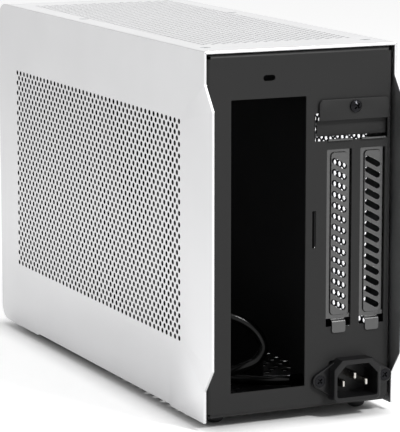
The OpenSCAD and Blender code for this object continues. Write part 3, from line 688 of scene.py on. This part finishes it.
class CASE_OT_cover(bpy.types.Operator):
    """Top, front and lip, bent from one perforated sheet"""
    bl_idname = "case.cover"
    bl_label = "Cover"

    def execute(self, context):
        shell = context.scene.case_shell
        front, rear, low, high = COVER[0].y, COVER[1].y, COVER[0].z, COVER[1].z
        half, radius = COVER[1].x, shell.corner
        fold = Fold((rear, high), (-1, 0), (0, 1), [
            (rear - front - radius, 0), bend(radius), (high - low - 2 * radius, 0), bend(radius),
            (shell.lip, 0)])
        stops = [0, *fold.stations, fold.length]
        points = [Vector((half, s)) for s in stops] + [Vector((-half, s)) for s in reversed(stops)]
        last = len(points) - 1
        mitres = ([1] * (len(stops) - 1) + [0]) * 2
        rims, depths = broken_rims(points, mitres, shell.sheet, shell.edge)
        creases = [(i, last - i) for i in range(1, len(stops) - 1)]

        def place(p, depth):
            side = fold.at(p[1], depth)
            return Vector((p[0], side.x, side.y))
        cover = sheet(rims, depths, place, self.holes(shell, fold), (), creases)
        # The cover's hole edges take a light grey painted reflection.
        piece("cover_sheet", [cover], "shell_aluminium", ["front_top_cover"],
              walls=[painted_reflection_edge("upper")])
        return {"FINISHED"}

    def holes(self, shell, fold):
        """Holes of the flat sheet: screw seats, perforation, and those of feet, button and socket."""
        front, rear, high = COVER[0].y, COVER[1].y, COVER[1].z
        lip = fold.stations[-1] - front - shell.corner
        face = fold.stations[BEND_STEPS] + high - shell.corner
        seat, screw, clear = 3 * MM, 1.7 * MM, 3.1 * MM
        heads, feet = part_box("cover_screws"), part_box("feet")
        seats = [(c.x, rear - c.y) for c in flat_centres("cover_screws", heads[1].z)]
        seats += [(c.x, c.y + lip) for c in flat_centres("cover_screws", heads[0].z)]
        rims = []
        for c in staggered((0, (rear - front) / 2), shell.top_rows, shell.columns,
                           shell.pitch_across, shell.pitch_along):
            near = min((Vector(other) - Vector(c)).length for other in seats)
            rims.append(circle(c, min(shell.top_hole / 2, near - clear), 12))
        foot, foot_play, button_play, gap, soft = 5 * MM, 0.4 * MM, 0.3 * MM, 0.35 * MM, 0.6 * MM
        for x in (feet[0].x + foot, feet[1].x - foot):
            rims.append(circle((x, feet[0].y + foot + lip), foot + foot_play, 32))
        low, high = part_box("power_button")
        spot = (low + high) / 2
        rims.append(circle((spot.x, face - spot.z), (high.x - low.x) / 2 + button_play, 48))
        low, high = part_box("usb_socket")
        rims.append(rounded(low.x - gap, face - high.z - gap, high.x + gap, face - low.z + gap, soft))
        countersinks = [(circle(c, seat, SCREW_STEPS), circle(c, screw, SCREW_STEPS)) for c in seats]
        return countersinks + [(rim, rim) for rim in rims]


class CASE_OT_slot_covers(bpy.types.Operator):
    """Slot covers folded from one sheet, with a raised field of slanted vents"""
    bl_idname = "case.slot_covers"
    bl_label = "Slot covers"

    def execute(self, context):
        for which in ("inner", "outer"):
            self.cover(context.scene.case_rear, f"slot_cover_{which}")
        return {"FINISHED"}

    def cover(self, rear, name):
        low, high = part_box(name)
        middle, half = (low.x + high.x) / 2, (high.x - low.x) / 2
        thick, tight, steps = rear.slot_sheet, 0.5 * MM, 5
        tongue_height, field_top, field_bottom, vent_top = 7.1 * MM, 7.1 * MM, 9.6 * MM, 9.1 * MM
        inner, floor = REAR[1].y - rear.steel, low.z + tongue_height
        fold = Fold((high.y, high.z - thick), (-1, 0), (0, -1), [
            (high.y - inner - tight, 0), bend(-tight), (high.z - thick - floor - 2 * tight, 0),
            bend(-tight), bend(tight + thick), (floor - tight - thick - low.z, 0)], steps)
        plate, hook = fold.stations[steps], fold.stations[steps + 1]
        tab, tongue = rear.slot_width / 2 + 0.5 * MM, 4.15 * MM
        shoulder, waist = plate + 0.6 * MM, hook - 0.2 * MM
        side = [(tongue, fold.length, 1.4 * MM), (tongue, waist, 0.4 * MM), (half, waist, 0.3 * MM),
                (half, shoulder, 0.4 * MM), (tab, shoulder, 0.3 * MM), (tab, 0, 0.4 * MM)]
        right = [(x, s, r, 0) for x, s, r in reversed(side)]
        left = [(-x, s, r, 0) for x, s, r in side]
        points, rows = cut_at(outline(right + left, 4)[0], fold.stations)
        rims, depths = broken_rims(points, [0] * len(points), thick, 0.12 * MM)
        level = plate + high.z - thick - tight
        top, bottom = level - (high.z - field_top), level - (low.z + field_bottom)
        wide, soft, run = rear.field_width / 2, 2.4 * MM, 0.4 * MM
        rings = [rounded(-wide + d, top + d, wide - d, bottom - d, soft - d)
                 for d in (0, run / 4, run / 2, 0.75 * run, run)]
        turned, deep_edge, ring_step = rear.slot_width / 2 - 0.4 * MM, 0.9 * MM, 0.3 * MM
        start, stop = plate + 1.2 * MM, hook - 2.6 * MM
        rings += [rounded(-half + ring_step + d, start + d, -turned - d, stop - d, ring_step, 2)
                  for d in (0, ring_step, 2 * ring_step)]
        first, offset = level - (high.z - vent_top), 0.75
        vents = []
        for i in range(rear.vents):
            loop = slot_shape((0, first + (i + offset) * rear.vent_pitch), rear.vent_long,
                              rear.vent_wide, -rear.vent_angle)
            vents.append((loop, loop))

        def place(p, depth):
            out = fold.at(p[1], depth)
            dx = abs(p[0]) - wide + soft
            ds = abs(p[1] - (top + bottom) / 2) - (bottom - top) / 2 + soft
            deep = soft - hypot(max(dx, 0), max(ds, 0)) - min(max(dx, ds), 0)
            rise = rear.field_rise * eased(deep / run)
            if start < p[1] < stop:
                rise -= rear.flange_depth * min(max((-p[0] - turned) / deep_edge, 0), 1)
            return Vector((middle + p[0], out.x + rise, out.y))
        cover = sheet(rims, depths, place, vents, rings, rows)
        piece(f"{name}_sheet", [cover], "zinc_sheet", [name], 28)


class CASE_OT_retainer(bpy.types.Operator):
    """Plate over the slot covers' tabs, folded back into the opening below its screw"""
    bl_idname = "case.retainer"
    bl_label = "Retaining plate"

    def execute(self, context):
        rear = context.scene.case_rear
        low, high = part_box("slot_retainer")
        half, middle, tall = (high.x - low.x) / 2, (low.x + high.x) / 2, high.z - low.z
        soft, crisp, below_fold, screw_hole, steps = 2.6 * MM, 0.5 * MM, 9 * MM, 1.8 * MM, 6
        fold = tall - below_fold
        corners = [(half, 0, soft, 0), (half, tall, crisp, 0), (-half, tall, crisp, 0),
                   (-half, 0, soft, 0)]
        levels = [fold + k * rear.retainer_slant / steps for k in range(steps + 1)]
        points, rows = cut_at(outline(corners)[0], levels)
        rims, depths = broken_rims(points, [0] * len(points), rear.retainer_sheet, 0.2 * MM)
        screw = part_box("retainer_screw")
        spot = ((screw[0].x + screw[1].x) / 2 - middle, high.z - (screw[0].z + screw[1].z) / 2)
        hole = circle(spot, screw_hole, 24)
        face = REAR[1].y + rear.retainer_rise

        def place(p, depth):
            back = rear.retainer_step * eased((p[1] - fold) / rear.retainer_slant)
            return Vector((middle + p[0], face - depth - back, high.z - p[1]))
        plate = sheet(rims, depths, place, [(hole, hole)], (), rows)
        piece("retaining_plate", [plate], "chassis_paint", ["slot_retainer"], 30)
        return {"FINISHED"}


def inlet_outline(width, height, chamfer, low_radius, soft, grow=0.0):
    """Outline of the inlet, whose upper corners are chamfered."""
    w, h = width / 2 + grow, height / 2 + grow
    c = chamfer + grow * 0.6
    corners = [(-w, -h, low_radius), (w, -h, low_radius), (w, h - c, soft), (w - c, h, soft),
               (c - w, h, soft), (-w, h - c, soft)]
    return outline([(*corner, 0) for corner in corners], 5)[0]


class CASE_OT_inlet(bpy.types.Operator):
    """Mains inlet with its moulded housing, eared flange, recess, contact pins and screws"""
    bl_idname = "case.inlet"
    bl_label = "Mains inlet"

    def execute(self, context):
        made = context.scene.case_plastic
        low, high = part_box("mains_inlet")
        across, up = (low.x + high.x) / 2, (low.z + high.z) / 2
        seat, face = REAR[1].y, high.y
        front, bottom = seat + made.flange, face - made.recess_depth

        def at(loop, y):
            return [Vector((across + p.x, y, up + p.y)) for p in loop]

        def ear_place(p, depth):
            return Vector((across + p[0], front - depth, up + p[1]))
        parts = [loft([at(loop, y) for loop, y in self.housing(made, low.y, seat, face)])]
        screws = [Vector((side * made.screw_span / 2, 0)) for side in (1, -1)]
        for loop, c in zip(self.ears(made), screws):
            rims, depths = broken_rims(loop, [0] * len(loop), made.flange, 0.35 * MM)
            holes = [(circle(c, 3.4 * MM, SCREW_STEPS), circle(c, 1.75 * MM, SCREW_STEPS))]
            parts.append(sheet(rims, depths, ear_place, holes))
        piece("inlet_housing", parts, "moulded_black", ["mains_inlet"], 30)
        sunk, lower_rim, shank, radius, cross, pit = (
            k * MM for k in (0.12, 3.12, 1.55, 3.15, 1.75, 1.1))
        sides = [(lower_rim, -sunk), (shank, -1.5 * MM), (shank, -8 * MM)]
        heads = [screw_head((across + c.x, front - sunk, up), (0, 1, 0), radius, cross, pit, sides)
                 for c in screws]
        piece("inlet_screw_heads", heads, "black_screw", ["inlet_screws"], 25)
        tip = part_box("inlet_pins")[1].y
        blades = [loft([at([p + Vector((x * MM, z * MM)) for p in loop], y)
                        for loop, y in self.blade(bottom, tip)])
                  for x, z in ((-7, -2), (0, 2), (7, -2))]
        piece("inlet_contact_pins", blades, "contact_pins", ["inlet_pins"])
        return {"FINISHED"}

    def housing(self, made, back, seat, face):
        """Outlines of the housing and their depths, from the recess's bottom over the rim to the back."""
        def recess(grow):
            return inlet_outline(made.recess_width, made.recess_height, 5.6 * MM, 1.2 * MM + grow,
                                 0.8 * MM + grow, grow)

        def outer(grow):
            return inlet_outline(made.inlet_width, made.inlet_height, made.inlet_chamfer,
                                 3.2 * MM + grow, 1.2 * MM + grow, grow)
        behind = seat + 0.2 * MM
        rings = [(recess(grow * MM), y) for grow, y in (
            (0, face - made.recess_depth), (0, face - 0.5 * MM), (0.15, face - 0.15 * MM), (0.5, face))]
        return rings + [(outer(grow * MM), y) for grow, y in (
            (-0.9, face), (-0.4, face - 0.12 * MM), (-0.12, face - 0.4 * MM), (0, face - 0.9 * MM),
            (0, behind), (-1.1, behind), (-1.1, back))]

    def ears(self, made):
        """Outlines of the flange's two ears, whose slanted sides run from the housing round a screw."""
        ear, reach, steps = 4.2 * MM, made.screw_span / 2, 14
        flat, half = 9 * MM, made.inlet_height / 2 - 0.7 * MM
        turn = atan2(half, flat - reach) - acos(ear / hypot(reach - flat, half))
        slope = (half - ear * sin(turn)) / (reach + ear * cos(turn) - flat)
        wall = made.inlet_width / 2 - 1 * MM
        right = [Vector((reach + ear * cos(a), ear * sin(a))) for a in
                 [-turn + 2 * turn * i / steps for i in range(steps + 1)]]
        right += [Vector((11 * MM, half - slope * 2 * MM)), Vector((wall, 6.5 * MM)),
                  Vector((wall, slope * (wall - flat) - half))]
        return right, [Vector((-p.x, p.y)) for p in reversed(right)]

    def blade(self, bottom, tip):
        """Outlines of a contact pin and their depths, narrower towards its tip."""
        stations = ((0, bottom - 1 * MM), (0, tip - 1.2 * MM), (0.25, tip - 0.35 * MM), (0.55, tip))
        for cut, y in stations:
            wide, tall = (1 - cut) * MM, (2 - cut) * MM
            yield rounded(-wide, -tall, wide, tall, 0.25 * MM, 3), y


class CASE_OT_screws(bpy.types.Operator):
    """Countersunk cover screws and the retaining plate's pan head screw"""
    bl_idname = "case.screws"
    bl_label = "Screws"

    def execute(self, context):
        low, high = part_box("cover_screws")
        head, shank, cross, pit = (k * MM for k in (2.95, 1.5, 1.6, 0.9))
        sides = [(head, -0.1 * MM), (shank, -1.35 * MM), (shank, -6.9 * MM)]
        heads = [screw_head((c.x, c.y, level), (0, 0, axis), head, cross, pit, sides)
                 for level, axis in ((high.z, 1), (low.z, -1))
                 for c in flat_centres("cover_screws", level)]
        piece("cover_screw_heads", heads, "bright_steel", ["cover_screws"], 25)
        low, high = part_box("retainer_screw")
        head, tall, dome, cross, pit = (k * MM for k in (3.4, 1, 1.35, 1.95, 1.5))
        base = REAR[1].y + context.scene.case_rear.retainer_rise
        sides = [(head, -tall), (shank, -tall), (shank, low.y - base - tall)]
        centre = ((low.x + high.x) / 2, base + tall, (low.z + high.z) / 2)
        screw = screw_head(centre, (0, 1, 0), head, cross, pit, sides, dome)
        piece("retainer_screw_head", [screw], "black_screw", ["retainer_screw"], 40)
        return {"FINISHED"}


# Points of the lead in mm: from the tray towards the board, forward from the inlet's back, and up
# from the plug's underside.
LEAD_LOOP = (
    (-20.7, 18.3, 7.7), (-11.7, 24.3, 4.2), (-0.5, 30.3, 3.2), (11.3, 38.3, 3.2), (22.3, 46.3, 3.2),
    (32.3, 48.3, 3.7), (38.3, 40.3, 5.7), (35.3, 29.3, 9.7), (25.3, 22.3, 14.2), (16.3, 20.3, 18.2),
    (11.3, 21.3, 24.7), (14.3, 23.3, 33.2), (22.3, 26.3, 40.2), (32.3, 31.3, 43.7), (42.3, 44.3, 43.7),
    (48.3, 68.3, 37.7), (48.3, 105.3, 23.7), (42.3, 140.3, 12.7), (34.3, 170.3, 9.3))


def smooth_path(points, steps):
    """Points on one smooth curve through others."""
    path = []
    for i in range(len(points) - 1):
        a, b = points[max(i - 1, 0)], points[i]
        c, d = points[i + 1], points[min(i + 2, len(points) - 1)]
        for k in range(steps):
            t = k / steps
            path.append((2 * b + (c - a) * t + (2 * a - 5 * b + 4 * c - d) * t * t
                         + (3 * b - a - 3 * c + d) * t * t * t) / 2)
    return path + [points[-1]]


class CASE_OT_lead(bpy.types.Operator):
    """Mains lead from the inlet, under the tray and round its loop to the plug"""
    bl_idname = "case.lead"
    bl_label = "Mains lead"

    def execute(self, context):
        made = context.scene.case_plastic
        low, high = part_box("mains_inlet")
        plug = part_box("mains_plug")
        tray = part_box("board_standoffs")[0].x
        start = Vector(((low.x + high.x) / 2, low.y, (low.z + high.z) / 2))
        end = Vector(((plug[0].x + plug[1].x) / 2, plug[1].y, (plug[0].z + plug[1].z) / 2))
        route = [start, start + Vector((0, -9.3, -0.8)) * MM]
        route += [Vector((tray + x * MM, low.y - y * MM, plug[0].z + z * MM)) for x, y, z in LEAD_LOOP]
        path = smooth_path([*route, end], 8)
        piece("mains_lead_jacket", [tube(path, made.lead / 2)], "lead_jacket", ["mains_lead"])
        return {"FINISHED"}


class CASE_OT_chassis(bpy.types.Operator):
    """Finishes and broken edges of the frames, the tray and the small parts from the CAD"""
    bl_idname = "case.chassis"
    bl_label = "Chassis"

    def execute(self, context):
        inner = ("front_frame", "psu_bracket", "board_side_rail", "card_side_rail", "motherboard_tray")
        widths = {"rear_panel": 0.15, **dict.fromkeys(inner, 0.15), "power_button": 0.5,
                  "mains_plug": 0.5, "power_switch": 0.2, "button_guide": 0.2}
        for entry in frame["record"]["subparts"]:
            name = entry["node"]
            node = frame["nodes"][name]
            # The inner frames, tray and floor pan take a darker black: painted shade for the inside of the case.
            in_painted_shade = name in (*inner, "floor_pan")
            node.data.materials.clear()
            node.data.materials.append(painted_shade_black() if in_painted_shade else finish(entry["material_slot"]))
            if name in widths:
                self.break_edges(node, widths[name] * MM)
        return {"FINISHED"}

    def break_edges(self, node, width):
        """Rounds the edges with modifiers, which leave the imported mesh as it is."""
        node.modifiers.new("Weld", "WELD").merge_threshold = 1e-6
        plain = node.modifiers.new("Plain faces", "DECIMATE")
        plain.decimate_type = "DISSOLVE"
        plain.angle_limit = radians(1)
        edge = node.modifiers.new("Broken edges", "BEVEL")
        edge.width = width
        edge.segments = 2
        edge.limit_method = "ANGLE"
        edge.angle_limit = radians(30)


def softbox(name, place, aim, size, power):
    """A square soft lamp that points at a spot."""
    lamp = bpy.data.lights.new(name, "AREA")
    lamp.shape = "SQUARE"
    lamp.size = size
    lamp.energy = power
    made = bpy.data.objects.new(name, lamp)
    made.location = place
    made.rotation_euler = (Vector(aim) - Vector(place)).to_track_quat("-Z", "Y").to_euler()
    bpy.context.scene.collection.objects.link(made)


class CASE_OT_stage(bpy.types.Operator):
    """Camera, pale floor, soft lamps and white surroundings"""
    bl_idname = "case.stage"
    bl_label = "Stage"

    def execute(self, context):
        scene, stage = context.scene, context.scene.case_stage
        self.camera(scene, stage)
        self.floor(stage)
        self.surroundings(scene, stage)
        softbox("top softbox", (0.1, 0.2, 1.5), (0, 0, 0.1), 1.2, 6.0)
        softbox("rear key", (-0.5, 1.35, 1.2), (0, 0.15, 0.1), 0.3, 20.0)
        scene.view_settings.view_transform = "Standard"
        scene.view_settings.look = "None"
        return {"FINISHED"}

    def camera(self, scene, stage):
        lens = bpy.data.cameras.new("Camera")
        lens.sensor_width = 36
        lens.lens = stage.lens
        lens.clip_end = 50
        camera = bpy.data.objects.new("Camera", lens)
        scene.collection.objects.link(camera)
        ahead = Vector((-sin(stage.yaw) * cos(stage.pitch), -cos(stage.yaw) * cos(stage.pitch),
                        -sin(stage.pitch)))
        right = Vector((-cos(stage.yaw), sin(stage.yaw), 0))
        up = right.cross(ahead)
        turn = Matrix((right, up, -ahead)).transposed().to_4x4()
        camera.matrix_world = Matrix.Translation(stage.place) @ turn
        scene.camera = camera

    def floor(self, stage):
        """Pale floor that glows for the camera, and less for mirroring. The glow fades out near the case and is
        gone under it, a painted shade beneath the case.
        """
        mirrored, glow, wide = 0.55, 0.44, 8.0
        material, tree, shader = finish_tree("pale studio floor")
        tree.nodes.remove(shader)
        path = add(tree, "ShaderNodeLightPath").outputs
        seen = maths(tree, "MULTIPLY_ADD", path["Is Glossy Ray"], mirrored, path["Is Camera Ray"])
        place = add(tree, "ShaderNodeNewGeometry").outputs["Position"]
        spot = add(tree, "ShaderNodeSeparateXYZ", {0: place}).outputs
        away = [maths(tree, "SUBTRACT", maths(tree, "ABSOLUTE", spot[axis]), edge)
                for axis, edge in (("X", -CAD_BOX[0].x), ("Y", max(-CAD_BOX[0].y, REAR[1].y)))]
        # Painted shade: no glow under the case, fading in past its edge.
        glow_outside_painted_shade = add(tree, "ShaderNodeMapRange", {
            "Value": maths(tree, "MAXIMUM", *away), "From Min": -10 * MM, "From Max": 15 * MM,
            "To Max": glow}).outputs[0]
        light = add(tree, "ShaderNodeEmission", {"Strength": maths(tree, "MULTIPLY", seen, glow_outside_painted_shade)})
        matte = add(tree, "ShaderNodeBsdfDiffuse", {"Color": tuple(stage.floor)})
        both = add(tree, "ShaderNodeAddShader", {0: matte.outputs[0], 1: light.outputs[0]})
        tree.links.new(both.outputs[0], tree.nodes["Material Output"].inputs["Surface"])
        corners = [Vector((x * wide, y * wide, 0)) for x, y in ((-1, -1), (1, -1), (1, 1), (-1, 1))]
        shape("floor", [(corners, [(0, 1, 2, 3)])], [material])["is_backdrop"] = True

    def surroundings(self, scene, stage):
        """White for the camera and for mirroring. As a lamp it is dimmer, and more so on the right."""
        left, right = 1.7, 0.3
        world = bpy.data.worlds.new("white studio")
        world.use_nodes = True
        tree = world.node_tree
        path = add(tree, "ShaderNodeLightPath").outputs
        sharp = maths(tree, "MAXIMUM", path["Is Camera Ray"], path["Is Glossy Ray"])
        around = add(tree, "ShaderNodeTexCoord").outputs["Generated"]
        heading = add(tree, "ShaderNodeSeparateXYZ", {0: around})
        soft = add(tree, "ShaderNodeMapRange", {
            "Value": heading.outputs["X"], "From Min": -1.0, "From Max": 1.0,
            "To Min": stage.sky * left, "To Max": stage.sky * right})
        level = add(tree, "ShaderNodeMapRange", {
            "Value": sharp, "To Min": soft.outputs["Result"], "To Max": 1.0})
        tree.links.new(level.outputs["Result"], tree.nodes["Background"].inputs["Strength"])
        tree.nodes["Background"].inputs["Color"].default_value = linear("FFFFFF")
        scene.world = world


class CASE_PT_parts(bpy.types.Panel):
    """Builders of the case's parts"""
    bl_idname = "CASE_PT_parts"
    bl_label = "Computer case"
    bl_space_type = "VIEW_3D"
    bl_region_type = "UI"
    bl_category = "Case"

    def draw(self, context):
        for maker in MAKERS:
            self.layout.operator(maker.bl_idname)
        for name in SETTINGS:
            group = getattr(context.scene, name)
            box = self.layout.box()
            for key in group.__annotations__:
                box.prop(group, key)


SETTINGS = {"case_shell": ShellSettings, "case_rear": RearSettings, "case_plastic": PlasticSettings,
            "case_stage": StageSettings}
MAKERS = (CASE_OT_side_panels, CASE_OT_cover, CASE_OT_slot_covers, CASE_OT_retainer, CASE_OT_inlet,
          CASE_OT_screws, CASE_OT_lead, CASE_OT_chassis, CASE_OT_stage)
CLASSES = (*SETTINGS.values(), *MAKERS, CASE_PT_parts)


def register():
    for kind in CLASSES:
        bpy.utils.register_class(kind)
    for name, kind in SETTINGS.items():
        setattr(bpy.types.Scene, name, PointerProperty(type=kind))


def unregister():
    for name in SETTINGS:
        delattr(bpy.types.Scene, name)
    for kind in reversed(CLASSES):
        bpy.utils.unregister_class(kind)


def main():
    register()
    bpy.ops.case.side_panels()
    bpy.ops.case.cover()
    bpy.ops.case.slot_covers()
    bpy.ops.case.retainer()
    bpy.ops.case.inlet()
    bpy.ops.case.screws()
    bpy.ops.case.lead()
    bpy.ops.case.chassis()
    bpy.ops.case.stage()
    boxes = {"cad": CAD_BOX, "shown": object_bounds()}
    sizes = {name: [list(corner) for corner in box] for name, box in boxes.items()}


if __name__ == "__main__":
    main()
